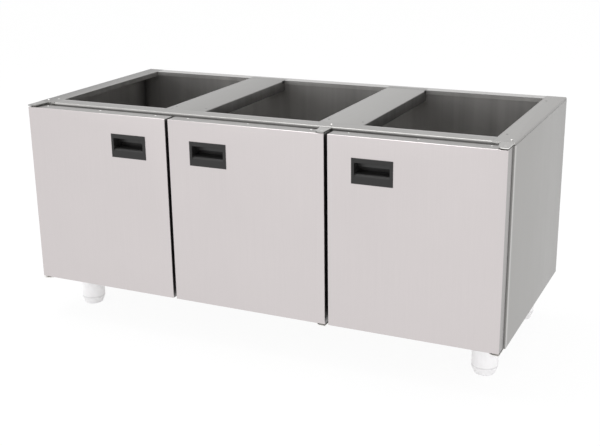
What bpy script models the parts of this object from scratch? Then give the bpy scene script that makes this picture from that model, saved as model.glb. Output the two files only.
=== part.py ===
"""Stainless steel equipment stand: an open top frame over a cupboard with three doors.

Metres, +Z up, front towards -Y. The origin is on the floor, under the middle of the stand.
"""

from math import cos, pi, sin, tan

import bmesh
import bpy
from mathutils import Matrix, Vector

# Overall sizes
WIDTH = 1.200  # over the side panels
DEPTH = 0.553  # door fronts to the back
HEIGHT = 0.554  # floor to the top frame
BODY_LIFT = 0.103  # floor to the underside of the body

# Sheet metal
FRAME_SHEET = 0.0015
BACK_SHEET = 0.0012
DOOR_SHEET = 0.0010
BEND_STEPS = 3
SEAT = 0.0003  # gap between pieces that touch
BEND_RADIUS = FRAME_SHEET + SEAT  # outer radius of a fold, so that a square corner seats inside it
SQUARE = (0, 0)  # radius and steps of a fold ground square
MERGE = 0.00001  # points nearer than this are one point

# Doors
DOOR_GAP = 0.008  # between neighbouring doors
DOOR_INSET = 0.004  # from the side panel's outer face to the door's edge
DOOR_THICKNESS = 0.0345
DOOR_BACK_GAP = 0.005  # from the doors' backs to the body
DOOR_EDGE_RADIUS = 0.0016
LINER_FLANGE = 0.010

# Top frame
STRIP_WIDTH = 0.049
STRIP_RADIUS = 0.0035
CROSSMEMBER_WIDTH = 0.1065
STRIP_FLANGE = 0.012  # depth of the side strips' folded edges
FRAME_FLANGE = 0.027  # depth of the crossmembers' and the front rail's folded edges
FRAME_SETBACK = 0.0055  # from the body's front to the top frame's front edge
FRAME_SEAM = 0.0006  # open seam between the frame's outer lip and the body
FRONT_RAIL_BACK = 0.0856  # from the door fronts to the cut-outs
FRONT_RAIL_DROP = 0.045
NOSE_RADIUS = 0.004
NOSE_STEPS = 6
REAR_RAIL_WIDTH = 0.035
REAR_RAIL_FLANGE = 0.010

# Side panels, floor and mullions
REAR_RETURN = 0.020  # side panels' folded rear edges
FLOOR_RISE = 0.025  # from the underside of the body to the cupboard's floor
FLOOR_RETURN = 0.048  # lower fold at the floor's front edge
MULLION_WIDTH = 0.040
MULLION_DEPTH = 0.030

# Hinges
PIVOT_INSET = 0.010  # from the door's hinge edge to the pin
PIVOT_SETBACK = 0.014  # from the door's front to the pin
PLATE_WIDTH = 0.027
PLATE_THICKNESS = 0.0025
PLATE_NOSE = 0.0005  # plate's front edge behind the door's front
PLATE_REACH = 0.082  # from the door's front to the plate's rear end
PLATE_STEPS = 6
PLATE_LAP = 0.004  # where the two levels of a flush upper plate overlap
UPPER_PLAY = 0.001  # between the upper hinge plate and the door
LOWER_PLAY = 0.003  # between the lower hinge plate and the door
PIN_RADIUS = 0.004
PIN_ENGAGEMENT = 0.0115  # pin inside the door
BUSH_RADIUS = 0.0055
BUSH_LENGTH = 0.012
BUSH_FLANGE_RADIUS = 0.0075
SCREW_SETBACK = 0.068  # from the door's front to the hinge screw
SCREW_RADIUS = 0.002
SCREW_HEAD_RADIUS = 0.0034
SCREW_HEAD_HEIGHT = 0.0016
SCREW_LENGTH = 0.010

# Magnetic catches
CATCH_WIDTH = 0.014
CATCH_HEIGHT = 0.050
CATCH_OFFSET = 0.012  # from the door gap's middle to the catch's middle

# Handle cups
HANDLE_WIDTH = 0.095
HANDLE_HEIGHT = 0.057
HANDLE_EDGE = 0.056  # from the door's free edge to the handle
HANDLE_DROP = 0.0518  # from the top frame to the handle
HANDLE_PROUD = 0.0015  # rim in front of the door
RIM_SIDE = 0.007
RIM_TOP = 0.010
RIM_BOTTOM = 0.013
RIM_CHAMFER = 0.0008
CUP_WALL = 0.0018
CUP_BACK_WALL = 0.0012
ROLL_RADIUS = 0.0105  # rolled lower lip of the pocket
ROLL_STEPS = 6
BAFFLE_SETBACK = 0.0240  # from the door's front to the upper grip plate
BAFFLE_THICKNESS = 0.0018
BAFFLE_HEIGHT = 0.014

# Feet
FOOT_RADIUS = 0.030
FOOT_SIDE = 0.0645  # from the side panel's outer face to the foot's axis
FOOT_SETBACK = 0.084  # from the body's front or back to the foot's axis
FOOT_FLANGE_RADIUS = 0.044
FOOT_FLANGE_HEIGHT = 0.006
FOOT_BASE_HEIGHT = 0.018
FOOT_BASE_RADIUS = 0.0235
FOOT_EDGE = 0.0012
STEM_RADIUS = 0.015
STEM_LENGTH = 0.080
STEM_HEADROOM = 0.004
ROUND_STEPS = 32
SMALL_ROUND_STEPS = 20

# Positions worked out from the sizes above
FRONT = (HANDLE_PROUD - DEPTH) / 2  # door fronts
BACK = FRONT + DEPTH
BODY_FRONT = FRONT + DOOR_THICKNESS + DOOR_BACK_GAP
FRAME_FRONT = BODY_FRONT + FRAME_SETBACK
MULLION_FRONT = FRAME_FRONT + FRAME_SHEET + SEAT
HALF_WIDTH = WIDTH / 2
INNER_FRONT = BODY_FRONT + FRAME_SHEET + SEAT
INNER_SIDE = HALF_WIDTH - FRAME_SHEET - SEAT
FRAME_BOTTOM = HEIGHT - FRAME_FLANGE
UPPER_PLATE_TOP = HEIGHT - FRAME_SHEET - SEAT  # upper hinge plates run under the frame's top sheet
UPPER_PLATE_BOTTOM = UPPER_PLATE_TOP - PLATE_THICKNESS
BODY_TOP = UPPER_PLATE_BOTTOM - SEAT  # side panels' upper edges
LIP_BOTTOM = BODY_TOP + FRAME_SEAM
FLOOR_TOP = BODY_LIFT + FLOOR_RISE
CUTOUT_FRONT = FRONT + FRONT_RAIL_BACK
CUTOUT_BACK = BACK - REAR_RAIL_WIDTH
BACK_PANEL_FRONT = CUTOUT_BACK + FRAME_SHEET + SEAT
BACK_PANEL_REAR = BACK_PANEL_FRONT + BACK_SHEET
RAIL_END = HALF_WIDTH - STRIP_WIDTH - SEAT
DOOR_WIDTH = (WIDTH - 2 * DOOR_INSET - 2 * DOOR_GAP) / 3
DOOR_PITCH = DOOR_WIDTH + DOOR_GAP
DOOR_TOP = UPPER_PLATE_BOTTOM - UPPER_PLAY
LOWER_PLATE_TOP = BODY_LIFT - SEAT
DOOR_BOTTOM = LOWER_PLATE_TOP + LOWER_PLAY
DOOR_HEIGHT = DOOR_TOP - DOOR_BOTTOM
PIVOT_Y = FRONT + PIVOT_SETBACK
CROSSMEMBER_X = DOOR_PITCH / 2
CUP_DEPTH = DOOR_THICKNESS - DOOR_SHEET - SEAT - CUP_BACK_WALL

STEEL = ("brushed_steel", (0.43, 0.42, 0.41), 1.0, 0.38)
DOOR_STEEL = ("door_steel", (0.64, 0.60, 0.60), 1.0, 0.36)
PIN_STEEL = ("pin_steel", (0.50, 0.49, 0.48), 1.0, 0.25)
BLACK = ("black_plastic", (0.025, 0.025, 0.026), 0.0, 0.35)
DARK = ("magnet_black", (0.02, 0.02, 0.02), 0.0, 0.60)
NYLON = ("nylon", (0.75, 0.74, 0.70), 0.0, 0.50)
WHITE = ("white_plastic", (0.86, 0.85, 0.86), 0.0, 0.45)


def clear_scene():
    for item in list(bpy.data.objects):
        bpy.data.objects.remove(item)


def collection(name):
    found = bpy.data.collections.new(name)
    bpy.context.scene.collection.children.link(found)
    return found


def material(spec):
    name, colour, metallic, roughness = spec
    made = bpy.data.materials.get(name)
    if made is None:
        made = bpy.data.materials.new(name)
        made.use_nodes = True
        shader = made.node_tree.nodes["Principled BSDF"]
        shader.inputs["Base Color"].default_value = (*colour, 1.0)
        shader.inputs["Metallic"].default_value = metallic
        shader.inputs["Roughness"].default_value = roughness
    return made


clear_scene()
PARTS = collection("equipment_stand")
CUTTERS = collection("cutters")


def add_part(name, mesh_builder, finish, parent=None, place=(0, 0, 0)):
    """A named piece made from a bmesh, parented to its axis empty if it moves."""
    mesh = bpy.data.meshes.new(name)
    mesh_builder.to_mesh(mesh)
    mesh_builder.free()
    piece = bpy.data.objects.new(name, mesh)
    mesh.materials.append(material(finish))
    PARTS.objects.link(piece)
    piece.parent = parent
    piece.location = place
    return piece


def add_axis(name, place):
    axis = bpy.data.objects.new(name, None)
    axis.empty_display_size = 0.05
    axis.location = place
    PARTS.objects.link(axis)
    return axis


def box_mesh(low, high):
    """A box between two corners."""
    low, high = Vector(low), Vector(high)
    builder = bmesh.new()
    bmesh.ops.create_cube(builder, size=1.0)
    bmesh.ops.scale(builder, verts=builder.verts, vec=high - low)
    bmesh.ops.translate(builder, verts=builder.verts, vec=(low + high) / 2)
    return builder


def cylinder_mesh(centre, radius, low, high, steps=SMALL_ROUND_STEPS):
    """An upright cylinder about the point centre in plan, from height low to high."""
    builder = bmesh.new()
    bmesh.ops.create_cone(
        builder, cap_ends=True, segments=steps, radius1=radius, radius2=radius, depth=high - low
    )
    place = Vector((centre[0], centre[1], (low + high) / 2))
    bmesh.ops.translate(builder, verts=builder.verts, vec=place)
    return builder


def cut(piece, mesh_builder, operation="DIFFERENCE"):
    """Cut a shape out of a piece, or join it on, with a hidden helper beside the piece."""
    name = f"{piece.name}_shape_{len(piece.modifiers)}"
    mesh = bpy.data.meshes.new(name)
    mesh_builder.to_mesh(mesh)
    mesh_builder.free()
    helper = bpy.data.objects.new(name, mesh)
    helper.hide_render = True
    helper.display_type = "WIRE"
    helper.parent = piece.parent
    helper.location = piece.location
    CUTTERS.objects.link(helper)
    boolean = piece.modifiers.new(operation.lower(), "BOOLEAN")
    boolean.operation = operation
    boolean.object = helper
    return piece


def bent_path(corners):
    """Points along a folded line: each corner (u, v) or (u, v, radius, steps) becomes an arc.

    A corner with no radius stays square.
    """
    points = [Vector(corners[0][:2])]
    for before, corner, after in zip(corners, corners[1:], corners[2:]):
        radius, steps = corner[2:] if len(corner) > 2 else (BEND_RADIUS, BEND_STEPS)
        here = Vector(corner[:2])
        if not radius:
            points.append(here)
            continue
        arrive = (here - Vector(before[:2])).normalized()
        leave = (Vector(after[:2]) - here).normalized()
        turn = arrive.x * leave.y - arrive.y * leave.x
        angle = arrive.angle(leave) * (1 if turn > 0 else -1)
        side = Vector((-arrive.y, arrive.x)) * (1 if turn > 0 else -1)
        start = here - arrive * radius * tan(abs(angle) / 2)
        centre = start + side * radius
        for step in range(steps + 1):
            spin = Matrix.Rotation(angle * step / steps, 2)
            points.append(centre + spin @ (start - centre))
    points.append(Vector(corners[-1][:2]))
    return points


def folded_sheet(name, corners, along, low, high, finish=STEEL, sheet=FRAME_SHEET):
    """A sheet folded along a line of corners and run along X, Y or Z from low to high.

    The corners lie on the sheet's outer face, which is on the right of the line as it is walked.
    """
    axes = {"X": (1, 2, 0), "Y": (0, 2, 1), "Z": (0, 1, 2)}[along]

    def point(flat, height):
        place = Vector((0, 0, 0))
        place[axes[0]], place[axes[1]], place[axes[2]] = flat[0], flat[1], height
        return place

    path = bent_path(corners)
    builder = bmesh.new()
    verts = [builder.verts.new(point(flat, low)) for flat in path]
    edges = [builder.edges.new(pair) for pair in zip(verts, verts[1:])]
    grown = bmesh.ops.extrude_edge_only(builder, edges=edges)["geom"]
    moved = [item for item in grown if isinstance(item, bmesh.types.BMVert)]
    bmesh.ops.translate(builder, verts=moved, vec=point((0, 0), high - low))
    bmesh.ops.recalc_face_normals(builder, faces=builder.faces)
    first = path[1] - path[0]
    outward = point((first.y, -first.x), 0)
    builder.faces.ensure_lookup_table()
    face = min(builder.faces, key=lambda item: (item.calc_center_median() - point(path[0], low)).length)
    if face.normal.dot(outward) < 0:
        bmesh.ops.reverse_faces(builder, faces=builder.faces)
    return add_sheet(add_part(name, builder, finish), sheet)


def mirrored(corners):
    """The same fold on the other side of the stand."""
    return [(-corner[0], *corner[1:]) for corner in reversed(corners)]


def turned(name, profile, finish, parent=None, place=(0, 0, 0), steps=ROUND_STEPS):
    """A turned piece about its own Z axis: radius and height, down the outside from the top."""
    builder = bmesh.new()
    verts = [builder.verts.new((radius, 0, height)) for radius, height in profile]
    for pair in zip(verts, verts[1:]):
        builder.edges.new(pair)
    piece = add_part(name, builder, finish, parent, place)
    screw = piece.modifiers.new("turn", "SCREW")
    screw.steps = steps
    screw.render_steps = steps
    screw.use_merge_vertices = True
    screw.merge_threshold = MERGE
    screw.use_smooth_shade = True
    return piece


def pan_mesh(low, high, open_way, radius, rounded=lambda edge: True):
    """A box open on the side that open_way points to; the folded edges that rounded picks get a radius."""
    builder = box_mesh(low, high)
    lid = max(builder.faces, key=lambda face: face.normal.dot(Vector(open_way)))
    rim = set(lid.edges)
    bmesh.ops.delete(builder, geom=[lid], context="FACES_ONLY")
    folds = [edge for edge in builder.edges if edge not in rim and rounded(edge)]
    bmesh.ops.bevel(builder, geom=folds, offset=radius, segments=BEND_STEPS, profile=0.5, affect="EDGES")
    return builder


def add_sheet(piece, sheet):
    """Give a drawn outer face its sheet thickness, inwards."""
    thick = piece.modifiers.new("sheet", "SOLIDIFY")
    thick.thickness = sheet
    thick.offset = -1
    thick.use_even_offset = True
    return piece


def profile_mesh(points, low_x, high_x):
    """An outline of depth and height, extruded along X."""
    builder = bmesh.new()
    face = builder.faces.new([builder.verts.new((low_x, y, z)) for y, z in points])
    grown = bmesh.ops.extrude_face_region(builder, geom=[face])["geom"]
    moved = [item for item in grown if isinstance(item, bmesh.types.BMVert)]
    bmesh.ops.translate(builder, verts=moved, vec=(high_x - low_x, 0, 0))
    bmesh.ops.recalc_face_normals(builder, faces=builder.faces)
    return builder


def outline_mesh(points, low, high):
    """A flat outline in plan, extruded from height low to high."""
    curve = bpy.data.curves.new("outline", "CURVE")
    curve.dimensions = "2D"
    curve.fill_mode = "BOTH"
    curve.extrude = (high - low) / 2
    spline = curve.splines.new("POLY")
    spline.points.add(len(points) - 1)
    spline.use_cyclic_u = True
    for target, (x, y) in zip(spline.points, points):
        target.co = (x, y, 0, 1)
    drawn = bpy.data.objects.new("outline", curve)
    PARTS.objects.link(drawn)
    shape = drawn.evaluated_get(bpy.context.evaluated_depsgraph_get())
    mesh = bpy.data.meshes.new_from_object(shape)
    builder = bmesh.new()
    builder.from_mesh(mesh)
    bmesh.ops.remove_doubles(builder, verts=builder.verts, dist=MERGE)
    bmesh.ops.recalc_face_normals(builder, faces=builder.faces)
    bmesh.ops.translate(builder, verts=builder.verts, vec=(0, 0, (low + high) / 2))
    bpy.data.objects.remove(drawn)
    bpy.data.meshes.remove(mesh)
    return builder


def build_sides():
    corners = [
        (HALF_WIDTH - STRIP_WIDTH, BODY_FRONT),
        (HALF_WIDTH, BODY_FRONT),
        (HALF_WIDTH, BACK),
        (HALF_WIDTH - REAR_RETURN, BACK),
    ]
    folded_sheet("right_side_panel", corners, "Z", BODY_LIFT, BODY_TOP)
    folded_sheet("left_side_panel", mirrored(corners), "Z", BODY_LIFT, BODY_TOP)


def build_back_and_floor():
    sheet = box_mesh(
        (-INNER_SIDE, BACK_PANEL_FRONT, BODY_LIFT), (INNER_SIDE, BACK_PANEL_REAR, LIP_BOTTOM - SEAT)
    )
    add_part("back_panel", sheet, STEEL)
    floor_back = BACK_PANEL_FRONT - SEAT
    corners = [
        (floor_back, BODY_LIFT),
        (floor_back, FLOOR_TOP),
        (INNER_FRONT, FLOOR_TOP),
        (INNER_FRONT, BODY_LIFT),
        (INNER_FRONT + FLOOR_RETURN, BODY_LIFT),
    ]
    return folded_sheet("bottom_panel", corners, "X", -INNER_SIDE, INNER_SIDE)


def build_strip(name, side):
    """A side strip of the top frame: a shallow pan on the body, with a deeper flange at the cut-out.

    Its outer edges are rounded; the others stay square.
    """
    inner, outer = side * (HALF_WIDTH - STRIP_WIDTH), side * HALF_WIDTH
    low_x, high_x = sorted((inner, outer))

    def rounded(edge):
        return all(abs(vert.co.x - outer) < SEAT for vert in edge.verts)

    low, high = (low_x, FRAME_FRONT, LIP_BOTTOM), (high_x, BACK, HEIGHT)
    pan = pan_mesh(low, high, (0, 0, -1), STRIP_RADIUS, rounded)
    flange_ends = (FRAME_FRONT + STRIP_RADIUS, BACK_PANEL_FRONT - SEAT)
    for y in flange_ends:
        geometry = list(pan.verts) + list(pan.edges) + list(pan.faces)
        bmesh.ops.bisect_plane(pan, geom=geometry, dist=MERGE, plane_co=(0, y, 0), plane_no=(0, 1, 0))

    def at_cutout(vert):
        inside = flange_ends[0] - SEAT < vert.co.y < flange_ends[1] + SEAT
        return inside and abs(vert.co.x - inner) < SEAT

    rim = [edge for edge in pan.edges if edge.is_boundary and all(at_cutout(vert) for vert in edge.verts)]
    grown = bmesh.ops.extrude_edge_only(pan, edges=rim)["geom"]
    moved = [item for item in grown if isinstance(item, bmesh.types.BMVert)]
    bmesh.ops.translate(pan, verts=moved, vec=(0, 0, HEIGHT - STRIP_FLANGE - LIP_BOTTOM))
    bmesh.ops.recalc_face_normals(pan, faces=pan.faces)
    return add_sheet(add_part(name, pan, STEEL), FRAME_SHEET)


def build_top_frame():
    left = build_strip("left_top_strip", -1)
    right = build_strip("right_top_strip", 1)
    half = CROSSMEMBER_WIDTH / 2
    for name, centre in (("left_crossmember", -CROSSMEMBER_X), ("right_crossmember", CROSSMEMBER_X)):
        corners = [
            (centre + half, FRAME_BOTTOM),
            (centre + half, HEIGHT),
            (centre - half, HEIGHT),
            (centre - half, FRAME_BOTTOM),
        ]
        folded_sheet(name, corners, "Y", CUTOUT_FRONT + SEAT, CUTOUT_BACK - SEAT)
    front_corners = [
        (CUTOUT_FRONT, FRAME_BOTTOM),
        (CUTOUT_FRONT, HEIGHT, *SQUARE),
        (FRAME_FRONT, HEIGHT, NOSE_RADIUS, NOSE_STEPS),
        (FRAME_FRONT, HEIGHT - FRONT_RAIL_DROP),
    ]
    front_rail = folded_sheet("front_top_rail", front_corners, "X", -RAIL_END, RAIL_END)
    rear_corners = [
        (BACK, LIP_BOTTOM),
        (BACK, HEIGHT),
        (CUTOUT_BACK, HEIGHT, *SQUARE),
        (CUTOUT_BACK, HEIGHT - REAR_RAIL_FLANGE),
    ]
    folded_sheet("rear_top_rail", rear_corners, "X", -RAIL_END, RAIL_END)
    return left, right, front_rail


def build_mullions():
    """Posts behind the door gaps, from the floor up behind the front rail's lower edge."""
    half = MULLION_WIDTH / 2
    for name, centre in (("left_mullion", -CROSSMEMBER_X), ("right_mullion", CROSSMEMBER_X)):
        corners = [
            (centre - half, MULLION_FRONT + MULLION_DEPTH),
            (centre - half, MULLION_FRONT),
            (centre + half, MULLION_FRONT),
            (centre + half, MULLION_FRONT + MULLION_DEPTH),
        ]
        folded_sheet(name, corners, "Z", FLOOR_TOP + SEAT, HEIGHT - NOSE_RADIUS - SEAT)


def plate_outline(hinge_edge, hand, rear):
    """A hinge plate in plan: straight at the hinge edge, its inner front corner round about the pin."""
    inner = hinge_edge - hand * PLATE_WIDTH
    pin_x = hinge_edge - hand * PIVOT_INSET
    radius = PIVOT_SETBACK - PLATE_NOSE
    outline = [(hinge_edge, FRONT + PLATE_NOSE), (hinge_edge, rear), (inner, rear), (inner, BODY_FRONT)]
    for step in range(PLATE_STEPS + 1):
        angle = pi / 2 * step / PLATE_STEPS
        outline.append((pin_x - hand * radius * cos(angle), PIVOT_Y - radius * sin(angle)))
    return outline


def hinge_screw(name, place, up):
    """A round-head screw: the head sits on the face at the origin, the shank runs away from it."""
    profile = [(0.0, SCREW_HEAD_HEIGHT)]
    profile += [
        (SCREW_HEAD_RADIUS * share, SCREW_HEAD_HEIGHT * (1 - share ** 2)) for share in (0.5, 0.8, 1.0)
    ]
    profile += [(SCREW_RADIUS, 0.0), (SCREW_RADIUS, -SCREW_LENGTH), (0.0, -SCREW_LENGTH)]
    piece = turned(name, profile, PIN_STEEL, None, place, SMALL_ROUND_STEPS)
    if not up:
        piece.rotation_euler = (pi, 0, 0)


def build_hinge(door, hinge_edge, hand, top_sheet, floor, flush):
    """Upper and lower hinge plates of one door, with their pins and screws.

    A flush upper plate steps up level with the frame's top in front of the frame.
    """
    pivot = (hinge_edge - hand * PIVOT_INSET, PIVOT_Y)
    screw = (pivot[0], FRONT + SCREW_SETBACK)
    pin_hole = PIN_RADIUS + SEAT
    screw_hole = SCREW_RADIUS + SEAT
    reach = PLATE_THICKNESS * 4
    outline = plate_outline(hinge_edge, hand, FRONT + PLATE_REACH)
    upper_top = HEIGHT if flush else UPPER_PLATE_TOP
    low_x, high_x = sorted((hinge_edge, hinge_edge - hand * PLATE_WIDTH))
    low_x, high_x = low_x - SEAT, high_x + SEAT
    plates = (
        ("upper", UPPER_PLATE_BOTTOM, upper_top, top_sheet),
        ("lower", LOWER_PLATE_TOP - PLATE_THICKNESS, LOWER_PLATE_TOP, floor),
    )
    for which, low, high, sheet in plates:
        plate = add_part(f"{door}_{which}_hinge_plate", outline_mesh(outline, low, high), STEEL)
        cut(plate, cylinder_mesh(pivot, pin_hole, low - reach, high + reach))
        cut(plate, cylinder_mesh(screw, screw_hole, low - reach, high + reach))
        cut(sheet, cylinder_mesh(screw, screw_hole, low - reach, high + reach))
        if flush and which == "upper":
            rear_low = (low_x, FRAME_FRONT - SEAT, UPPER_PLATE_TOP)
            rear_high = (high_x, FRONT + PLATE_REACH + SEAT, HEIGHT + SEAT)
            cut(plate, box_mesh(rear_low, rear_high))
            nose_low = (low_x, FRONT, UPPER_PLATE_BOTTOM - SEAT)
            nose_high = (high_x, FRAME_FRONT - PLATE_LAP, HEIGHT - PLATE_THICKNESS)
            cut(plate, box_mesh(nose_low, nose_high))

    window_low = (low_x, FRAME_FRONT - SEAT, UPPER_PLATE_BOTTOM - SEAT)
    window_high = (high_x, FRAME_FRONT + NOSE_RADIUS + SEAT, UPPER_PLATE_TOP + SEAT)
    cut(top_sheet, box_mesh(window_low, window_high))

    pins = (
        ("upper", DOOR_TOP - PIN_ENGAGEMENT, upper_top),
        ("lower", LOWER_PLATE_TOP - PLATE_THICKNESS, DOOR_BOTTOM + PIN_ENGAGEMENT),
    )
    for which, low, high in pins:
        add_part(f"{door}_{which}_hinge_pin", cylinder_mesh(pivot, PIN_RADIUS, low, high), PIN_STEEL)
    hinge_screw(f"{door}_upper_hinge_screw", (*screw, HEIGHT + SEAT), True)
    lower_face = LOWER_PLATE_TOP - PLATE_THICKNESS - SEAT
    hinge_screw(f"{door}_lower_hinge_screw", (*screw, lower_face), False)


def build_catch(door, gap_x, side):
    """A flat magnet on the mullion, facing the back of the door's free edge."""
    centre = gap_x + side * CATCH_OFFSET
    middle = (DOOR_TOP + DOOR_BOTTOM) / 2
    low = (centre - CATCH_WIDTH / 2, FRONT + DOOR_THICKNESS + SEAT, middle - CATCH_HEIGHT / 2)
    high = (centre + CATCH_WIDTH / 2, MULLION_FRONT - SEAT, middle + CATCH_HEIGHT / 2)
    add_part(f"{door}_magnet_catch", box_mesh(low, high), DARK)


def build_handle(door, axis, free_edge, hand):
    """Handle cup, in the door's own frame: rim, pocket over a rolled lip, and a hung grip plate."""
    left = free_edge + (HANDLE_EDGE if hand > 0 else -HANDLE_EDGE - HANDLE_WIDTH)
    right = left + HANDLE_WIDTH
    top = HEIGHT - HANDLE_DROP - DOOR_BOTTOM
    bottom = top - HANDLE_HEIGHT
    front = -PIVOT_SETBACK
    back = front + CUP_DEPTH
    face_y = front - HANDLE_PROUD
    lip = bottom + RIM_BOTTOM
    pocket_top = top - RIM_TOP
    pocket_left, pocket_right = left + RIM_SIDE, right - RIM_SIDE

    rim = box_mesh((left, face_y, bottom), (right, front - SEAT, top))
    face = min(rim.faces, key=lambda item: item.normal.y)
    bmesh.ops.bevel(rim, geom=list(face.edges), offset=RIM_CHAMFER, segments=1, affect="EDGES")
    cup = add_part(f"{door}_handle_cup", rim, BLACK, axis)
    outer_low = (pocket_left - CUP_WALL, front - 2 * SEAT, lip - CUP_WALL)
    outer_high = (pocket_right + CUP_WALL, back + CUP_BACK_WALL, pocket_top + CUP_WALL)
    cut(cup, box_mesh(outer_low, outer_high), "UNION")
    pocket = [(face_y - CUP_WALL, pocket_top), (back, pocket_top), (back, lip + ROLL_RADIUS)]
    for step in range(ROLL_STEPS + 1):
        angle = pi / 2 * step / ROLL_STEPS
        pocket.append((face_y + ROLL_RADIUS * (1 - sin(angle)), lip + ROLL_RADIUS * cos(angle)))
    pocket.append((face_y - CUP_WALL, lip))
    cut(cup, profile_mesh(pocket, pocket_left, pocket_right))
    plate_low = (pocket_left - CUP_WALL / 2, front + BAFFLE_SETBACK, pocket_top - BAFFLE_HEIGHT)
    plate_high = (
        pocket_right + CUP_WALL / 2,
        front + BAFFLE_SETBACK + BAFFLE_THICKNESS,
        pocket_top + CUP_WALL / 2,
    )
    cut(cup, box_mesh(plate_low, plate_high), "UNION")
    hole_low = (outer_low[0] - SEAT, front - DOOR_SHEET, outer_low[2] - SEAT)
    hole_high = (outer_high[0] + SEAT, front + 2 * DOOR_SHEET, outer_high[2] + SEAT)
    return hole_low, hole_high


def build_door(door, hinge_edge, hand):
    """One door about its hinge axis; hand is +1 where it hangs on its right edge, -1 on its left."""
    axis = add_axis(f"{door}_axis", (hinge_edge - hand * PIVOT_INSET, PIVOT_Y, DOOR_BOTTOM))
    hung = hand * PIVOT_INSET
    free = hung - hand * DOOR_WIDTH
    low_x, high_x = sorted((hung, free))
    front, back = -PIVOT_SETBACK, DOOR_THICKNESS - PIVOT_SETBACK

    pan = pan_mesh((low_x, front, 0), (high_x, back, DOOR_HEIGHT), (0, 1, 0), DOOR_EDGE_RADIUS)
    skin = add_sheet(add_part(f"{door}_skin", pan, DOOR_STEEL, axis), DOOR_SHEET)
    hole_low, hole_high = build_handle(door, axis, free, hand)
    cut(skin, box_mesh(hole_low, hole_high))
    reach = 3 * DOOR_SHEET
    for height in (0, DOOR_HEIGHT):
        cut(skin, cylinder_mesh((0, 0), BUSH_RADIUS + SEAT, height - reach, height + reach))

    inset = DOOR_SHEET + SEAT
    pan = pan_mesh(
        (low_x + inset, back - LINER_FLANGE, inset),
        (high_x - inset, back, DOOR_HEIGHT - inset),
        (0, -1, 0),
        DOOR_EDGE_RADIUS,
    )
    add_sheet(add_part(f"{door}_liner", pan, STEEL, axis), DOOR_SHEET)

    bore = PIN_RADIUS + SEAT
    for which, play, height in (("upper", UPPER_PLAY, DOOR_HEIGHT), ("lower", LOWER_PLAY, 0)):
        profile = [
            (bore, play - SEAT),
            (BUSH_FLANGE_RADIUS, play - SEAT),
            (BUSH_FLANGE_RADIUS, SEAT),
            (BUSH_RADIUS, SEAT),
            (BUSH_RADIUS, -BUSH_LENGTH),
            (bore, -BUSH_LENGTH),
            (bore, play - SEAT),
        ]
        bush = turned(f"{door}_{which}_bush", profile, NYLON, axis, (0, 0, height), SMALL_ROUND_STEPS)
        if which == "lower":
            bush.rotation_euler = (pi, 0, 0)


def build_foot(name, x, y):
    """A levelling foot: a sleeve hung under the floor, and a base whose stem screws into it."""
    sleeve_top = FLOOR_TOP - FRAME_SHEET - SEAT
    sleeve_bottom = FOOT_BASE_HEIGHT + SEAT
    bore = STEM_RADIUS + SEAT
    bore_top = FOOT_BASE_HEIGHT + STEM_LENGTH + STEM_HEADROOM
    sleeve = [
        (0.0, sleeve_top),
        (FOOT_FLANGE_RADIUS, sleeve_top),
        (FOOT_FLANGE_RADIUS, sleeve_top - FOOT_FLANGE_HEIGHT),
        (FOOT_RADIUS, sleeve_top - FOOT_FLANGE_HEIGHT),
        (FOOT_RADIUS, sleeve_bottom),
        (bore, sleeve_bottom),
        (bore, bore_top),
        (0.0, bore_top),
    ]
    turned(f"{name}_foot_sleeve", sleeve, WHITE, None, (x, y, 0))
    base = [(0.0, FOOT_BASE_HEIGHT + STEM_LENGTH), (STEM_RADIUS, FOOT_BASE_HEIGHT + STEM_LENGTH)]
    base += [(STEM_RADIUS, FOOT_BASE_HEIGHT), (FOOT_RADIUS, FOOT_BASE_HEIGHT)]
    base += [(FOOT_RADIUS, FOOT_BASE_HEIGHT - FOOT_EDGE), (FOOT_BASE_RADIUS, FOOT_EDGE)]
    base += [(FOOT_BASE_RADIUS - FOOT_EDGE, 0.0), (0.0, 0.0)]
    axis = add_axis(f"{name}_foot_axis", (x, y, 0))
    turned(f"{name}_foot_adjuster", base, WHITE, axis)


def build():
    build_sides()
    floor = build_back_and_floor()
    left_strip, right_strip, front_rail = build_top_frame()
    build_mullions()

    outer = HALF_WIDTH - DOOR_INSET
    middle = DOOR_WIDTH / 2
    build_hinge("left_door", -outer, -1, left_strip, floor, True)
    build_hinge("middle_door", middle, 1, front_rail, floor, False)
    build_hinge("right_door", outer, 1, right_strip, floor, True)
    build_door("left_door", -outer, -1)
    build_door("middle_door", middle, 1)
    build_door("right_door", outer, 1)
    build_catch("left_door", -CROSSMEMBER_X, -1)
    build_catch("middle_door", -CROSSMEMBER_X, 1)
    build_catch("right_door", CROSSMEMBER_X, 1)

    foot_x = HALF_WIDTH - FOOT_SIDE
    for depth, y in (("front", BODY_FRONT + FOOT_SETBACK), ("back", BACK - FOOT_SETBACK)):
        for side, x in (("left", -foot_x), ("right", foot_x)):
            build_foot(f"{depth}_{side}", x, y)


build()
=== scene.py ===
from math import cos, pi, sin

import bmesh
import bpy
from mathutils import Matrix, Vector


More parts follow.
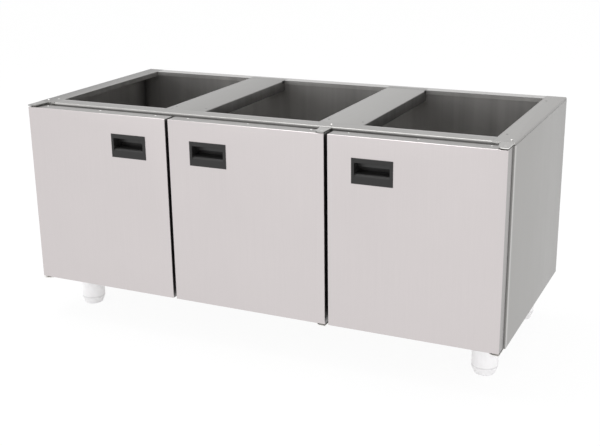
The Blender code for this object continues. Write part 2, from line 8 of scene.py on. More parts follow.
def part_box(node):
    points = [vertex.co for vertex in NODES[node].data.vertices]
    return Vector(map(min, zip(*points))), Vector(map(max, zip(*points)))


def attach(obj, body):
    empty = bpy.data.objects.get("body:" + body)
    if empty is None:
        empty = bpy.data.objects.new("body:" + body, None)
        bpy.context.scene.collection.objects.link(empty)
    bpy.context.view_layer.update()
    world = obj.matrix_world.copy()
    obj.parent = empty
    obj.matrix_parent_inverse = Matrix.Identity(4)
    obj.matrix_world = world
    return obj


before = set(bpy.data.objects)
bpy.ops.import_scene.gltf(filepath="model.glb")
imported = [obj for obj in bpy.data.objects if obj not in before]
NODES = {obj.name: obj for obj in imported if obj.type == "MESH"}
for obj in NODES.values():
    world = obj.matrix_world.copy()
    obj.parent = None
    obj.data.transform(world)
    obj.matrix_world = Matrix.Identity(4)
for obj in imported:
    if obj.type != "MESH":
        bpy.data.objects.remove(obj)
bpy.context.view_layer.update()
DOORS = ("left_door", "middle_door", "right_door")

# Camera, at the photograph's viewing angle
CAMERA_PLACE = (1.07351, -2.25796, 1.05514)
CAMERA_RIGHT = (0.902405, 0.430579, -0.01631)
CAMERA_UP = (-0.115162, 0.277485, 0.953803)
CAMERA_LENS = 62.245
CAMERA_SENSOR = 36
CAMERA_SHIFT = (0.015522, -0.017815)
CAMERA_REACH = 100

# Faces of the stand, from the CAD model
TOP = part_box("left_crossmember")[1].z
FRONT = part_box("left_door_skin")[0].y
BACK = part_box("rear_top_rail")[1].y
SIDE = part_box("right_side_panel")[1].x
BODY_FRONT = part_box("right_side_panel")[0].y
RAIL_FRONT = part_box("front_top_rail")[0].y
CUTOUT_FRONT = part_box("front_top_rail")[1].y
CUTOUT_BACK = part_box("rear_top_rail")[0].y
BACK_PANEL_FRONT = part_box("back_panel")[0].y
BACK_PANEL_MIDDLE = (BACK_PANEL_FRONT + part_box("back_panel")[1].y) / 2
CROSSMEMBERS = [
    (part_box(f"{side}_crossmember")[0].x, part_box(f"{side}_crossmember")[1].x) for side in ("left", "right")
]
CROSSMEMBER_X = sum(CROSSMEMBERS[1]) / 2
CROSSMEMBER_HALF = CROSSMEMBERS[1][1] - CROSSMEMBER_X
STRIP_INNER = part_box("right_top_strip")[0].x
STRIP_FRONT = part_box("right_top_strip")[0].y
FLOOR_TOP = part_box("bottom_panel")[1].z
FLOOR_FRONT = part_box("bottom_panel")[0].y
DOOR_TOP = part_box("left_door_skin")[1].z
HANDLE_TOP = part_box("left_door_handle_cup")[1].z
FOOT_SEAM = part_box("front_right_foot_sleeve")[0].z
FRONT_FOOT, BACK_FOOT = [
    sum(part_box(f"{depth}_right_foot_adjuster"), Vector()) / 2 for depth in ("front", "back")
]


def build_camera():
    right = Vector(CAMERA_RIGHT).normalized()
    back = right.cross(Vector(CAMERA_UP)).normalized()
    up = back.cross(right)
    camera = bpy.data.objects.new("camera", bpy.data.cameras.new("camera"))
    bpy.context.scene.collection.objects.link(camera)
    turn = Matrix((right, up, back)).transposed().to_4x4()
    camera.matrix_world = Matrix.Translation(CAMERA_PLACE) @ turn
    camera.data.lens = CAMERA_LENS
    camera.data.sensor_width = CAMERA_SENSOR
    camera.data.shift_x, camera.data.shift_y = CAMERA_SHIFT
    camera.data.clip_end = CAMERA_REACH
    bpy.context.scene.camera = camera


class Nodes:
    """A node tree, written a node at a time."""

    def __init__(self, tree):
        self.tree = tree

    def add(self, kind, inputs=None, **settings):
        node = self.tree.nodes.new(kind)
        for name, value in settings.items():
            setattr(node, name, value)
        for key, value in (inputs or {}).items():
            if isinstance(value, bpy.types.NodeSocket):
                self.tree.links.new(value, node.inputs[key])
            else:
                node.inputs[key].default_value = value
        return node

    def join(self, output, node, name):
        self.tree.links.new(output, node.inputs[name])

    def math(self, operation, first, second=0.0):
        return self.add("ShaderNodeMath", {0: first, 1: second}, operation=operation).outputs[0]

    def above(self, value, limit):
        return self.math("GREATER_THAN", value, limit)

    def below(self, value, limit):
        return self.math("LESS_THAN", value, limit)

    def both(self, first, second):
        return self.math("MULTIPLY", first, second)

    def within(self, value, low, high):
        return self.both(self.above(value, low), self.below(value, high))

    def ramp(self, factor, low, high, from_low=0.0, from_high=1.0):
        node = self.add(
            "ShaderNodeMapRange",
            {"Value": factor, "From Min": from_low, "From Max": from_high, "To Min": low, "To Max": high},
        )
        return node.outputs["Result"]

    def noise(self, vector, scale=1.0, detail=3.0, roughness=0.55):
        node = self.add(
            "ShaderNodeTexNoise",
            {"Vector": vector, "Scale": scale, "Detail": detail, "Roughness": roughness},
        )
        return node.outputs["Fac"]

    def coordinates(self):
        return self.add("ShaderNodeTexCoord").outputs["Object"]

    def place(self, stretch=(1, 1, 1)):
        mapping = self.add("ShaderNodeMapping", {"Vector": self.coordinates(), "Scale": stretch})
        return mapping.outputs["Vector"]

    def axis(self, letter):
        return self.add("ShaderNodeSeparateXYZ", {"Vector": self.coordinates()}).outputs[letter]

    def off_centre(self):
        """Distance to the left or right of the stand's middle."""
        return self.math("ABSOLUTE", self.axis("X"))

    def tint(self, factor, dark, light):
        """Mix of two colours, each given as a tuple or as a socket."""
        sides = [side if isinstance(side, bpy.types.NodeSocket) else (*side, 1.0) for side in (dark, light)]
        mix = self.add("ShaderNodeMix", {"Factor": factor, "A": sides[0], "B": sides[1]}, data_type="RGBA")
        return mix.outputs["Result"]

    def bump(self, height, strength, distance, normal=None):
        inputs = {"Strength": strength, "Distance": distance, "Height": height}
        if normal is not None:
            inputs["Normal"] = normal
        return self.add("ShaderNodeBump", inputs).outputs["Normal"]


def new_material(name):
    made = bpy.data.materials.new(name)
    made.use_nodes = True
    return made, Nodes(made.node_tree), made.node_tree.nodes["Principled BSDF"]


def scaled(colour, share):
    return [c * share for c in colour]


def shades(colour, contrast):
    return scaled(colour, 1 - contrast), scaled(colour, 1 + contrast)


# The part of its range that a noise mostly fills
NOISE_LOW = 0.3
NOISE_HIGH = 0.7

# Brushed steel
UPRIGHT_GRAIN = (900, 900, 6)
ACROSS_GRAIN = (6, 900, 900)
DEEP_GRAIN = (900, 6, 900)
TURNED_GRAIN = (300, 300, 300)
STREAK_STRETCH = (26, 26, 0.7)
LINE_SHARE = 0.7
SMUDGE_SHARE = 0.3
SMUDGE_SCALE = 7.0
BRUSH_ROUGHNESS_SPREAD = 0.06
BRUSH_BUMP = 0.06
BRUSH_DEPTH = 0.0004


def brushed(name, colour, grain, patches=(), roughness=0.40, contrast=0.05):
    """Brushed steel: grain is how the brush lines are stretched along X, Y and Z."""
    made, nodes, shader = new_material(name)
    shader.inputs["Metallic"].default_value = 1.0
    lines = nodes.noise(nodes.place(grain), detail=4.0, roughness=0.6)
    smudge = nodes.noise(nodes.place(), SMUDGE_SCALE)
    mixed = nodes.math(
        "ADD", nodes.math("MULTIPLY", lines, LINE_SHARE), nodes.math("MULTIPLY", smudge, SMUDGE_SHARE)
    )
    factor = nodes.ramp(mixed, 0.0, 1.0, NOISE_LOW, NOISE_HIGH)
    tint = nodes.tint(factor, *shades(colour, contrast))
    if patches:
        streaks = nodes.noise(nodes.place(STREAK_STRETCH), roughness=0.6)
        streak = nodes.ramp(streaks, 0.0, 1.0, NOISE_LOW, NOISE_HIGH)
    for mask, patch_colour, patch_contrast in patches:
        tint = nodes.tint(mask(nodes), tint, nodes.tint(streak, *shades(patch_colour, patch_contrast)))
    nodes.join(tint, shader, "Base Color")
    smooth, rough = roughness - BRUSH_ROUGHNESS_SPREAD, roughness + BRUSH_ROUGHNESS_SPREAD
    nodes.join(nodes.ramp(mixed, smooth, rough, NOISE_LOW, NOISE_HIGH), shader, "Roughness")
    nodes.join(nodes.bump(lines, BRUSH_BUMP, BRUSH_DEPTH), shader, "Normal")
    return made


def patch(mask, colour, share=1.0, contrast=0.05):
    """An area of a brushed sheet with another colour.

    mask is a function of the nodes that gives 1 there, share scales the colour, and contrast is how much
    the streaks there vary.
    """
    return mask, scaled(colour, share), contrast


# Moulded plastic
SPECK_SCALE = 900.0
BLOTCH_SCALE = 30.0
BLOTCH_DARK = 0.95
BLOTCH_LIGHT = 1.04
WHITEST = 0.97
RIM_SHARE = 0.86
MOULD_ROUGHNESS_SPREAD = 0.07
MOULD_BUMP = 0.05
MOULD_DEPTH = 0.0002


def moulded(name, colour, roughness, rim=None, gloss=None, relief=None):
    """Moulded plastic with a fine grain and faint blotches.

    rim is a function of the nodes that gives 1 on a greyer line, gloss one that gives the shine, and
    relief one that takes the surface's normal and gives it a coarser shape.
    """
    made, nodes, shader = new_material(name)
    blotch = nodes.noise(nodes.place(), BLOTCH_SCALE)
    light = [min(c, WHITEST) for c in scaled(colour, BLOTCH_LIGHT)]
    tint = nodes.tint(blotch, scaled(colour, BLOTCH_DARK), light)
    if rim:
        tint = nodes.tint(rim(nodes), tint, scaled(colour, RIM_SHARE))
    nodes.join(tint, shader, "Base Color")
    smooth, rough = roughness - MOULD_ROUGHNESS_SPREAD, roughness + MOULD_ROUGHNESS_SPREAD
    nodes.join(nodes.ramp(blotch, smooth, rough, NOISE_LOW, NOISE_HIGH), shader, "Roughness")
    if gloss:
        nodes.join(gloss(nodes), shader, "Specular IOR Level")
    speck = nodes.noise(nodes.place(), SPECK_SCALE, detail=2.0)
    normal = nodes.bump(speck, MOULD_BUMP, MOULD_DEPTH)
    if relief:
        normal = relief(nodes, normal)
    nodes.join(normal, shader, "Normal")
    return made


# Depths that tell one face of a folded sheet from the next
SKIN_DEPTH = 0.0003
SHEET_MIDDLE = 0.0008
FOLD_DEPTH = 0.0012
FLANGE_DEPTH = 0.0016

# Colours of the steel
BODY_COLOUR = (0.37, 0.364, 0.355)
# Painted highlight along folds and edges
EDGE_HIGHLIGHT_COLOUR = (0.46, 0.454, 0.445)
# Painted light: near white, for faces that stand in shade
PAINTED_LIGHT_COLOUR = (0.90, 0.888, 0.87)
MILL_COLOUR = (0.43, 0.421, 0.411)
# Painted shade for faces in the gaps behind the doors
SHADE_COLOUR = (0.30, 0.295, 0.287)
# Painted shade for the flanges that hang down into the cupboard
FLANGE_SHADE_COLOUR = (0.165, 0.162, 0.157)

# Side panels
SIDE_CORNER = 0.050
FRONT_EDGE_START = 0.005
FRONT_EDGE_END = 0.015


def inside_of_side(nodes):
    """The face of a side panel that looks into the cupboard."""
    inside = nodes.below(nodes.off_centre(), SIDE - SHEET_MIDDLE)
    return nodes.both(inside, nodes.within(nodes.axis("Y"), BODY_FRONT + SHEET_MIDDLE, BACK - SHEET_MIDDLE))


def side_rear_corner_shade(nodes):
    """Painted shade, rising from 0 to 1 towards the back panel, on the inside of a side panel."""
    rise = nodes.ramp(nodes.axis("Y"), 0.0, 1.0, BACK_PANEL_FRONT - SIDE_CORNER, BACK_PANEL_FRONT)
    return nodes.both(inside_of_side(nodes), rise)


def side_front_fold_shade(nodes):
    """The fold at the front of a side panel, behind the doors, painted in shade."""
    inside = nodes.below(nodes.off_centre(), SIDE - SKIN_DEPTH)
    return nodes.both(inside, nodes.below(nodes.axis("Y"), BODY_FRONT + FOLD_DEPTH))


def side_shade_towards_back(nodes):
    """Painted shade, rising from 0 to 1 from the front of a side panel to its back."""
    return nodes.ramp(nodes.axis("Y"), 0.0, 1.0, BODY_FRONT, BACK)


def side_front_edge_highlight(nodes):
    """Painted highlight, fading from 1 at the front fold of a side panel to 0 a little way along its outer
    face.
    """
    outside = nodes.above(nodes.off_centre(), SIDE - SKIN_DEPTH)
    fade = nodes.ramp(nodes.axis("Y"), 1.0, 0.0, BODY_FRONT + FRONT_EDGE_START, BODY_FRONT + FRONT_EDGE_END)
    return nodes.both(outside, fade)


def side_steel():
    areas = [
        patch(side_shade_towards_back, BODY_COLOUR, share=0.935, contrast=0.03),
        patch(side_front_edge_highlight, EDGE_HIGHLIGHT_COLOUR, share=1.25, contrast=0.03),
        # The inside in mill finish, painted darker as shade
        patch(inside_of_side, MILL_COLOUR, share=0.82, contrast=0.12),
        patch(side_rear_corner_shade, MILL_COLOUR, share=0.35, contrast=0.1),
        patch(side_front_fold_shade, SHADE_COLOUR),
    ]
    # Painted light and shade: a little lighter than the body steel at the front, darker towards the back
    return brushed("side_steel", scaled(BODY_COLOUR, 1.045), UPRIGHT_GRAIN, areas)


# Back panel
BACK_END_START = 0.160
BACK_END_FULL = 0.020
BACK_CORNER = 0.024


def front_of_back(nodes):
    """The face of the back panel that looks into the cupboard."""
    return nodes.below(nodes.axis("Y"), BACK_PANEL_MIDDLE)


def back_end_shade(nodes):
    """Painted shade, rising from 0 to 1 towards the side panels, on the inside of the back panel."""
    rise = nodes.ramp(nodes.off_centre(), 0.0, 1.0, SIDE - BACK_END_START, SIDE - BACK_END_FULL)
    return nodes.both(front_of_back(nodes), rise)


def back_corner_shade(nodes):
    """Painted shade, rising from 0 to 1 in the corners with the side panels, on the inside of the back panel.
    """
    rise = nodes.ramp(nodes.off_centre(), 0.0, 1.0, SIDE - BACK_CORNER, SIDE)
    return nodes.both(front_of_back(nodes), rise)


def back_steel():
    areas = [
        # The inside in mill finish, painted lighter as if lit
        patch(front_of_back, MILL_COLOUR, share=1.15, contrast=0.12),
        patch(back_end_shade, MILL_COLOUR, share=0.9, contrast=0.12),
        patch(back_corner_shade, MILL_COLOUR, share=0.35, contrast=0.1),
    ]
    return brushed("back_steel", BODY_COLOUR, UPRIGHT_GRAIN, areas)


# Bottom panel and mullions
# Painted shade: the mullions are dark so that the gaps between the doors look dark
POST_SHADE_COLOUR = (0.16, 0.157, 0.153)


def underside(nodes):
    """The bottom panel's underside, behind its front fold, painted nearly white so that it throws more light
    onto the feet.
    """
    below = nodes.below(nodes.axis("Z"), FLOOR_TOP - SHEET_MIDDLE)
    return nodes.both(below, nodes.above(nodes.axis("Y"), FLOOR_FRONT + SHEET_MIDDLE))


def floor_steel():
    return brushed("floor_steel", MILL_COLOUR, ACROSS_GRAIN, [patch(underside, PAINTED_LIGHT_COLOUR)])


# Strips along the two ends of the top frame
def strip_flange(nodes):
    """The flange that a side strip hangs into the cut-out beside it, painted in shade."""
    inner = nodes.below(nodes.off_centre(), STRIP_INNER + FLANGE_DEPTH)
    return nodes.both(inner, nodes.below(nodes.axis("Z"), TOP - FOLD_DEPTH))


def lit_strip_front(nodes):
    """The front end of a side strip, painted light against the shade of the gap behind the doors."""
    return nodes.below(nodes.axis("Y"), STRIP_FRONT + SKIN_DEPTH)


def strip_shade_outwards(nodes):
    """Painted shade, rising from 0 at the cut-out to 1 at the outer edge of a side strip."""
    return nodes.ramp(nodes.off_centre(), 0.0, 1.0, STRIP_INNER, SIDE)


def strip_steel(name, share, outside=()):
    areas = [
        *outside,
        patch(strip_flange, FLANGE_SHADE_COLOUR, share=1.8, contrast=0.2),
        patch(lit_strip_front, PAINTED_LIGHT_COLOUR),
    ]
    return brushed(name, scaled(BODY_COLOUR, share), DEEP_GRAIN, areas)


# Crossmembers of the top frame
CROSSMEMBER_FOLD = 0.0019
# Painted shadow at the rear corners of the crossmembers
CORNER_SHADOW_COLOUR = (0.02, 0.02, 0.02)
CORNER_SHADOW_WIDTH = 0.0025
CORNER_SHADOW_LENGTH = 0.014
CORNER_SHADOW_DEPTH = 0.007


def crossmember_flange(nodes):
    """The sides of a crossmember, below its top, painted in shade."""
    return nodes.below(nodes.axis("Z"), TOP - CROSSMEMBER_FOLD)


def off_crossmember(nodes):
    """Distance to the left or right of the nearer crossmember's middle."""
    return nodes.math("ABSOLUTE", nodes.math("SUBTRACT", nodes.off_centre(), CROSSMEMBER_X))


def crossmember_corner_shadow(nodes):
    """Painted shadow, near black, at each rear corner of a crossmember, where it meets the rear rail."""
    outer = nodes.above(off_crossmember(nodes), CROSSMEMBER_HALF - CORNER_SHADOW_WIDTH)
    outer = nodes.both(outer, nodes.above(nodes.axis("Z"), TOP - CORNER_SHADOW_DEPTH))
    return nodes.both(outer, nodes.above(nodes.axis("Y"), CUTOUT_BACK - CORNER_SHADOW_LENGTH))


def crossmember_steel(name, share):
    areas = [patch(crossmember_flange, FLANGE_SHADE_COLOUR, contrast=0.2), patch(crossmember_corner_shadow, CORNER_SHADOW_COLOUR)]
    return brushed(name, scaled(BODY_COLOUR, share), DEEP_GRAIN, areas)


# Front rail of the top frame
NOSE_WIDTH = 0.003
NOSE_HEIGHT = 0.0036
RAIL_EDGE_WIDTH = 0.006


def rail_light_rightward(nodes):
    """Painted light, rising from 0 at the stand's left end to 1 at its right end."""
    return nodes.ramp(nodes.axis("X"), 0.0, 1.0, -SIDE, SIDE)


def rail_nose_highlight(nodes):
    """Painted highlight on the front rail's rounded edge, fading from 1 at the left end to 0 at the middle.
    """
    nose = nodes.below(nodes.axis("Y"), RAIL_FRONT + NOSE_WIDTH)
    return nodes.both(nose, nodes.ramp(nodes.axis("X"), 1.0, 0.0, -SIDE, 0.0))


def rail_face_shade(nodes):
    """The faces of the front rail below its rounded edge, painted in shade."""
    return nodes.below(nodes.axis("Z"), TOP - NOSE_HEIGHT)


def beside_crossmembers(nodes):
    """1 along the cut-outs, 0 where a crossmember meets a rail."""
    return nodes.above(off_crossmember(nodes), CROSSMEMBER_HALF)


def rail_edge_highlight(nodes):
    """Painted highlight on the front rail's top along the cut-outs."""
    edge = nodes.above(nodes.axis("Y"), CUTOUT_FRONT - RAIL_EDGE_WIDTH)
    edge = nodes.both(edge, nodes.above(nodes.axis("Z"), TOP - FOLD_DEPTH))
    return nodes.both(edge, beside_crossmembers(nodes))


def rail_steel():
    areas = [
        patch(rail_light_rightward, BODY_COLOUR, share=0.87),
        patch(rail_nose_highlight, BODY_COLOUR, share=1.4),
        patch(rail_edge_highlight, EDGE_HIGHLIGHT_COLOUR, share=0.80),
        patch(rail_face_shade, SHADE_COLOUR),
    ]
    # The front rail is painted darker than the body steel as shade, and lighter towards the right as painted
    # light
    return brushed("rail_steel", scaled(BODY_COLOUR, 0.76), ACROSS_GRAIN, areas)


# Rear rail of the top frame
# Painted light: the rear rail is lighter than the body steel, as a highlight along the back edge
LIT_REAR_COLOUR = (0.45, 0.445, 0.437)
REAR_BAND_COLOUR = (0.25, 0.246, 0.24)
REAR_BAND_MARGIN = 0.012


def lit_rear_flange(nodes):
    """The flange that the rear rail hangs along the cut-outs, painted lighter than the mill finish as if lit.
    """
    front = nodes.below(nodes.axis("Y"), CUTOUT_BACK + FLANGE_DEPTH)
    return nodes.both(front, nodes.below(nodes.axis("Z"), TOP - FOLD_DEPTH))


def rear_band(nodes):
    """A darker band on the rear rail's top behind each crossmember, up to a margin along its back."""
    behind = nodes.math("SUBTRACT", 1.0, beside_crossmembers(nodes))
    return nodes.both(behind, nodes.below(nodes.axis("Y"), BACK - REAR_BAND_MARGIN))


def rear_rail_steel():
    areas = [patch(rear_band, REAR_BAND_COLOUR), patch(lit_rear_flange, MILL_COLOUR, share=1.4, contrast=0.1)]
    return brushed("rear_rail_steel", LIT_REAR_COLOUR, ACROSS_GRAIN, areas)


# Hinge plates, pins and screws
PLATE_BEVEL = 0.0006
TURNED_COLOUR = (0.5, 0.49, 0.48)


def plate_edge_highlight(nodes):
    """Painted highlight on the edges of a hinge plate that lies flush with the top frame."""
    return nodes.below(nodes.axis("Z"), TOP - PLATE_BEVEL)


# Doors
# The door fronts are painted lighter than the body steel, as lit from the front, and have a pinkish tint;
# their folded returns are painted darker as shade, darker still along the tops and in the gaps between doors
LIT_DOOR_COLOUR = (0.652, 0.612, 0.612)
RETURN_COLOUR = (0.40, 0.39, 0.384)
TOP_RETURN_COLOUR = (0.295, 0.288, 0.283)
GAP_SHADE_COLOUR = (0.20, 0.196, 0.193)
DOOR_FOLD = 0.0017
DOOR_TOP_DEPTH = 0.0005
OUTER_RETURN = 0.020


def door_returns(nodes):
    """A door skin's folded edges, behind its front, painted in shade."""
    return nodes.above(nodes.axis("Y"), FRONT + DOOR_FOLD)


def door_gap_shade(nodes):
    """The doors' returns that face another door, painted in deeper shade."""
    away = nodes.below(nodes.off_centre(), SIDE - OUTER_RETURN)
    return nodes.both(away, door_returns(nodes))


def door_top_shade(nodes):
    """The doors' returns along their tops, painted in shade."""
    top = nodes.above(nodes.axis("Z"), DOOR_TOP - DOOR_TOP_DEPTH)
    return nodes.both(top, door_returns(nodes))


def door_steel():
    areas = [
        patch(door_returns, RETURN_COLOUR),
        patch(door_gap_shade, GAP_SHADE_COLOUR),
        patch(door_top_shade, TOP_RETURN_COLOUR),
    ]
    return brushed("door_steel", LIT_DOOR_COLOUR, UPRIGHT_GRAIN, areas, contrast=0.03)


# Handle cups, with depths from the doors' fronts
HANDLE_COLOUR = (0.0145, 0.0138, 0.0138)
LIP_START = -0.0005
LIP_END = 0.010
GRIP_START = 0.020
GRIP_END = 0.027
GRIP_DROP = 0.024
GRIP_FADE = 0.012
HANDLE_GLOSS = 0.42
# Painted sheen added on the rolled lip and down the grip plate
LIP_PAINTED_SHEEN = 0.2
GRIP_PAINTED_SHEEN = 0.35


def handle_painted_sheen(nodes):
    """Painted sheen: dull on the rim of a handle cup, more on its rolled lip, and growing down its grip
    plate.
    """
    lip = nodes.within(nodes.axis("Y"), FRONT + LIP_START, FRONT + LIP_END)
    grip = nodes.within(nodes.axis("Y"), FRONT + GRIP_START, FRONT + GRIP_END)
    bottom = HANDLE_TOP - GRIP_DROP
    lit = nodes.both(grip, nodes.ramp(nodes.axis("Z"), 1.0, 0.0, bottom, bottom + GRIP_FADE))
    gain = nodes.math("ADD", nodes.math("MULTIPLY", lip, LIP_PAINTED_SHEEN), nodes.math("MULTIPLY", lit, GRIP_PAINTED_SHEEN))
    return nodes.math("ADD", gain, HANDLE_GLOSS)


# Feet
WHITE_COLOUR = (0.93, 0.92, 0.93)
FOOT_ROUGHNESS = 0.45
FOOT_RIM_HEIGHT = 0.003
STEM_REACH = 0.0153
THREAD_PITCH = 0.003
THREAD_BUMP = 1.0
THREAD_DEPTH = 0.002


def foot_rim(nodes):
    """The line round the lower end of a foot's sleeve."""
    return nodes.within(nodes.axis("Z"), FOOT_SEAM, FOOT_SEAM + FOOT_RIM_HEIGHT)


def foot_thread(nodes, normal):
    """Screw thread on the stems of the feet, about each foot's own upright axis."""
    middle = (FRONT_FOOT.y + BACK_FOOT.y) / 2
    x = nodes.math("SUBTRACT", nodes.off_centre(), FRONT_FOOT.x)
    y = nodes.math("ABSOLUTE", nodes.math("SUBTRACT", nodes.axis("Y"), middle))
    y = nodes.math("SUBTRACT", y, BACK_FOOT.y - middle)
    square = nodes.math("ADD", nodes.math("MULTIPLY", x, x), nodes.math("MULTIPLY", y, y))
    stem = nodes.below(square, STEM_REACH * STEM_REACH)
    turn = nodes.math("DIVIDE", nodes.math("ARCTAN2", y, x), 2 * pi)
    climb = nodes.math("DIVIDE", nodes.axis("Z"), THREAD_PITCH)
    ridge = nodes.math("PINGPONG", nodes.math("ADD", climb, turn), 0.5)
    return nodes.bump(nodes.both(ridge, stem), THREAD_BUMP, THREAD_DEPTH, normal)


# Finishes of the CAD model's nodes
MAGNET_COLOUR = (0.02, 0.02, 0.02)
NYLON_COLOUR = (0.7, 0.69, 0.65)
FOLD_ANGLE = 0.7
ROUND_ANGLE = 0.3
MERGE_DISTANCE = 0.00001


def frame_finishes():
    """Finishes of the top frame, by the ending of a node's name. The strips and crossmembers carry painted
    shade: darker on the left than on the right, and the left strip darker still towards its outer edge.
    """
    left_outer_shade = [patch(strip_shade_outwards, BODY_COLOUR, share=0.49)]
    return {
        "left_top_strip": strip_steel("left_strip_steel", share=0.68, outside=left_outer_shade),
        "right_top_strip": strip_steel("right_strip_steel", share=0.90),
        "left_crossmember": crossmember_steel("left_crossmember_steel", share=0.735),
        "right_crossmember": crossmember_steel("right_crossmember_steel", share=0.855),
        "front_top_rail": rail_steel(),
        "rear_top_rail": rear_rail_steel(),
    }


def cupboard_finishes():
    """Finishes of the panels and mullions, by the ending of a node's name."""
    return {
        "side_panel": side_steel(),
        "back_panel": back_steel(),
        "bottom_panel": floor_steel(),
        "mullion": brushed("shaded_post_steel", POST_SHADE_COLOUR, UPRIGHT_GRAIN),
    }


def door_finishes():
    """Finishes of the doors and their hinges, by the ending of a node's name."""
    plain = brushed("plate_steel", BODY_COLOUR, DEEP_GRAIN)
    turned = brushed("bright_steel", TURNED_COLOUR, TURNED_GRAIN, roughness=0.36)
    edge = [patch(plate_edge_highlight, PAINTED_LIGHT_COLOUR)]
    return {
        "_skin": door_steel(),
        "_liner": plain,
        # The left plate is painted darker as shade, like the left end of the front rail
        "left_door_upper_hinge_plate": brushed("shaded_left_plate_steel", scaled(BODY_COLOUR, 0.76), DEEP_GRAIN),
        "middle_door_upper_hinge_plate": plain,
        "right_door_upper_hinge_plate": brushed("right_plate_steel", BODY_COLOUR, DEEP_GRAIN, edge),
        # The lower plates are painted light all over, against the shade under the doors
        "lower_hinge_plate": brushed("lit_low_plate_steel", PAINTED_LIGHT_COLOUR, DEEP_GRAIN),
        "hinge_pin": turned,
        "hinge_screw": turned,
    }


def plastic_finishes():
    """Finishes of the moulded pieces, by the ending of a node's name."""
    return {
        "handle_cup": moulded("black_plastic", HANDLE_COLOUR, roughness=0.38, gloss=handle_painted_sheen),
        "magnet_catch": moulded("magnet_black", MAGNET_COLOUR, roughness=0.6),
        "bush": moulded("nylon", NYLON_COLOUR, roughness=0.5),
        "foot_sleeve": moulded("white_plastic", WHITE_COLOUR, FOOT_ROUGHNESS, rim=foot_rim),
        "foot_adjuster": moulded("white_stem", WHITE_COLOUR, FOOT_ROUGHNESS, relief=foot_thread),
    }


def build_smoothing(sharpest):
    """Node group that shades folds up to an angle as smooth and leaves other corners sharp."""
    group = bpy.data.node_groups.new("smooth_folds", "GeometryNodeTree")
    for way in ("INPUT", "OUTPUT"):
        group.interface.new_socket("Geometry", in_out=way, socket_type="NodeSocketGeometry")
    nodes = Nodes(group)
    taken = nodes.add("NodeGroupInput").outputs[0]
    merged = nodes.add("GeometryNodeMergeByDistance", {"Geometry": taken, "Distance": MERGE_DISTANCE})
    angle = nodes.add("GeometryNodeInputMeshEdgeAngle").outputs["Unsigned Angle"]
    shaded = nodes.add(
        "GeometryNodeSetMeshNormal",
        {"Mesh": merged.outputs[0], "Remove Custom": True, "Edge Sharpness": nodes.above(angle, sharpest)},
        mode="SHARPNESS",
    )
    nodes.add("NodeGroupOutput", {0: shaded.outputs[0]})
    return group


def dress_nodes():
    finishes = frame_finishes() | cupboard_finishes() | door_finishes() | plastic_finishes()
    folds = build_smoothing(FOLD_ANGLE)
    rounds = build_smoothing(ROUND_ANGLE)
    for name, node in NODES.items():
        finish = next(made for ending, made in finishes.items() if name.endswith(ending))
        node.data.materials.clear()
        node.data.materials.append(finish)
        node.modifiers.new("smooth_folds", "NODES").node_group = rounds if "_foot_" in name else folds


# Small fasteners
RIVET_RADIUS = 0.0028
RIVET_HEIGHT = 0.0009
PLUG_RADIUS = 0.0030
PLUG_HEIGHT = 0.0004
HEAD_STEPS = 16
HEAD_RINGS = 4
DOOR_RIVET_INSET = 0.040
DOOR_RIVET_SETBACK = 0.026
STRIP_RIVET_INSET = 0.0175
STRIP_RIVET_SETBACK = 0.086
PLUG_INSET = 0.0125
FRONT_PLUG_SETBACK = 0.116
REAR_PLUG_SETBACK = 0.490
RIVET_COLOUR = (0.62, 0.61, 0.60)
PLUG_COLOUR = (0.17, 0.166, 0.162)


def head_mesh(name, radius, height):
    """A low round head with a flat underside."""
    builder = bmesh.new()
    loops = []
    for ring in range(HEAD_RINGS):
        angle = pi / 2 * ring / HEAD_RINGS
        loops.append([
            builder.verts.new((
                radius * cos(angle) * cos(2 * pi * step / HEAD_STEPS),
                radius * cos(angle) * sin(2 * pi * step / HEAD_STEPS),
                height * sin(angle),
            ))
            for step in range(HEAD_STEPS)
        ])
    tip = builder.verts.new((0, 0, height))
    for low, high in zip(loops, loops[1:]):
        for step in range(HEAD_STEPS):
            after = (step + 1) % HEAD_STEPS
            builder.faces.new((low[step], low[after], high[after], high[step]))
    for step in range(HEAD_STEPS):
        builder.faces.new((loops[-1][step], loops[-1][(step + 1) % HEAD_STEPS], tip))
    builder.faces.new(list(reversed(loops[0])))
    for face in builder.faces:
        face.smooth = len(face.verts) < HEAD_STEPS
    mesh = bpy.data.meshes.new(name)
    builder.to_mesh(mesh)
    builder.free()
    return mesh


def head(name, place, radius, height, finish, body):
    """A low round head on an upward face."""
    mesh = head_mesh(name, radius, height)
    mesh.materials.append(finish)
    piece = bpy.data.objects.new(name, mesh)
    piece.location = place
    bpy.context.scene.collection.objects.link(piece)
    bpy.context.view_layer.update()
    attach(piece, body)


def build_rivets():
    bright = brushed("rivet_steel", RIVET_COLOUR, TURNED_GRAIN, roughness=0.3)
    for door in DOORS:
        low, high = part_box(f"{door}_skin")
        places = (low.x + DOOR_RIVET_INSET, (low.x + high.x) / 2, high.x - DOOR_RIVET_INSET)
        for count, x in enumerate(places, 1):
            place = (x, FRONT + DOOR_RIVET_SETBACK, high.z)
            head(f"{door}_rivet_{count}", place, RIVET_RADIUS, RIVET_HEIGHT, bright, door)
    place = (-STRIP_INNER - STRIP_RIVET_INSET, FRONT + STRIP_RIVET_SETBACK, TOP)
    head("left_strip_rivet", place, RIVET_RADIUS, RIVET_HEIGHT, bright, "carcass")


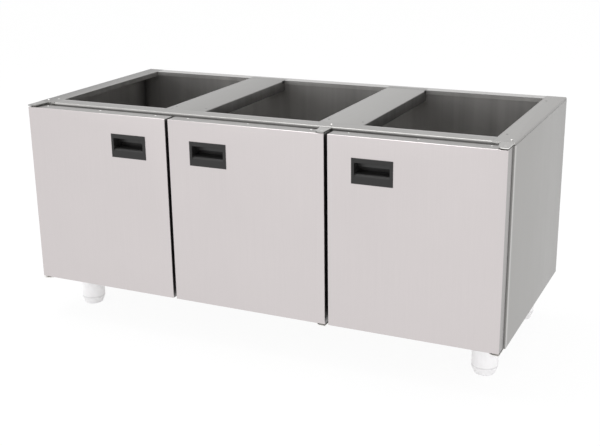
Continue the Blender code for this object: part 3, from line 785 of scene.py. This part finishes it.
def build_plugs():
    dark = brushed("plug_steel", PLUG_COLOUR, TURNED_GRAIN, roughness=0.45)
    crosses = [x for left, right in CROSSMEMBERS for x in (left + PLUG_INSET, right - PLUG_INSET)]
    strips = [STRIP_INNER + PLUG_INSET, -STRIP_INNER - PLUG_INSET]
    places = [(x, FRONT_PLUG_SETBACK) for x in crosses + strips] + [(x, REAR_PLUG_SETBACK) for x in strips]
    for count, (x, setback) in enumerate(places, 1):
        place = (x, FRONT + setback, TOP)
        head(f"frame_plug_{count}", place, PLUG_RADIUS, PLUG_HEIGHT, dark, "carcass")


# Floor and light
WHITE = (1.0, 1.0, 1.0, 1.0)
FLOOR_COLOUR = (0.9, 0.9, 0.9, 1.0)
FLOOR_SIZE = 14
FLOOR_DROP = 0.0005
FLOOR_GLOW = 0.92
FRONT_LIGHT = 1.3
BACK_LIGHT = 0.8
LIGHT_TURN = 0.3

# Lamps: name, place, aim, width in metres and power in watts
LAMPS = (
    ("key", (-1.2, -4.2, 1.2), (0, -0.2, 0.3), 4.0, 5),
    ("overhead", (-0.5, 0.2, 3.3), (0, -0.1, 0.5), 2.6, 60),
    ("fill", (2.4, 1.6, 2.6), (0, 0, 0.4), 2.0, 5),
)


def seen_directly(nodes):
    """1 for what the camera sees, also in a mirroring or clear surface, and 0 for light on the object."""
    path = nodes.add("ShaderNodeLightPath")
    seen = nodes.math("MAXIMUM", path.outputs["Is Camera Ray"], path.outputs["Is Glossy Ray"])
    return nodes.math("MAXIMUM", seen, path.outputs["Is Transmission Ray"])


def floor_material():
    made = bpy.data.materials.new("floor")
    made.use_nodes = True
    made.node_tree.nodes.clear()
    nodes = Nodes(made.node_tree)
    diffuse = nodes.add("ShaderNodeBsdfDiffuse", {"Color": FLOOR_COLOUR})
    glow = nodes.add("ShaderNodeEmission", {"Color": WHITE, "Strength": 1.0})
    share = nodes.math("MULTIPLY", seen_directly(nodes), FLOOR_GLOW)
    mix = nodes.add("ShaderNodeMixShader", {0: share, 1: diffuse.outputs[0], 2: glow.outputs[0]})
    nodes.add("ShaderNodeOutputMaterial", {"Surface": mix.outputs[0]})
    return made


def build_floor():
    mesh = bpy.data.meshes.new("floor")
    builder = bmesh.new()
    bmesh.ops.create_grid(builder, x_segments=1, y_segments=1, size=FLOOR_SIZE)
    builder.to_mesh(mesh)
    builder.free()
    mesh.materials.append(floor_material())
    floor = bpy.data.objects.new("floor", mesh)
    floor.location.z = -FLOOR_DROP
    bpy.context.scene.collection.objects.link(floor)


def build_world():
    """White surroundings, whose light on the object is stronger from the front than from the back."""
    world = bpy.data.worlds.new("studio")
    bpy.context.scene.world = world
    world.use_nodes = True
    world.node_tree.nodes.clear()
    nodes = Nodes(world.node_tree)
    towards = nodes.add("ShaderNodeTexCoord").outputs["Generated"]
    depth = nodes.add("ShaderNodeSeparateXYZ", {"Vector": towards}).outputs["Y"]
    falling = nodes.ramp(depth, FRONT_LIGHT, BACK_LIGHT, -LIGHT_TURN, LIGHT_TURN)
    strength = nodes.ramp(seen_directly(nodes), falling, 1.0)
    sky = nodes.add("ShaderNodeBackground", {"Color": WHITE, "Strength": strength})
    nodes.add("ShaderNodeOutputWorld", {"Surface": sky.outputs[0]})


def build_lamps():
    for name, place, aim, width, power in LAMPS:
        lamp = bpy.data.objects.new(name, bpy.data.lights.new(name, "AREA"))
        lamp.data.shape = "DISK"
        lamp.data.size = width
        lamp.data.energy = power
        lamp.location = place
        lamp.rotation_euler = (Vector(aim) - Vector(place)).to_track_quat("-Z", "Y").to_euler()
        bpy.context.scene.collection.objects.link(lamp)


build_camera()
dress_nodes()
build_rivets()
build_plugs()
build_floor()
build_world()
build_lamps()
bpy.context.scene.view_settings.view_transform = "Standard"
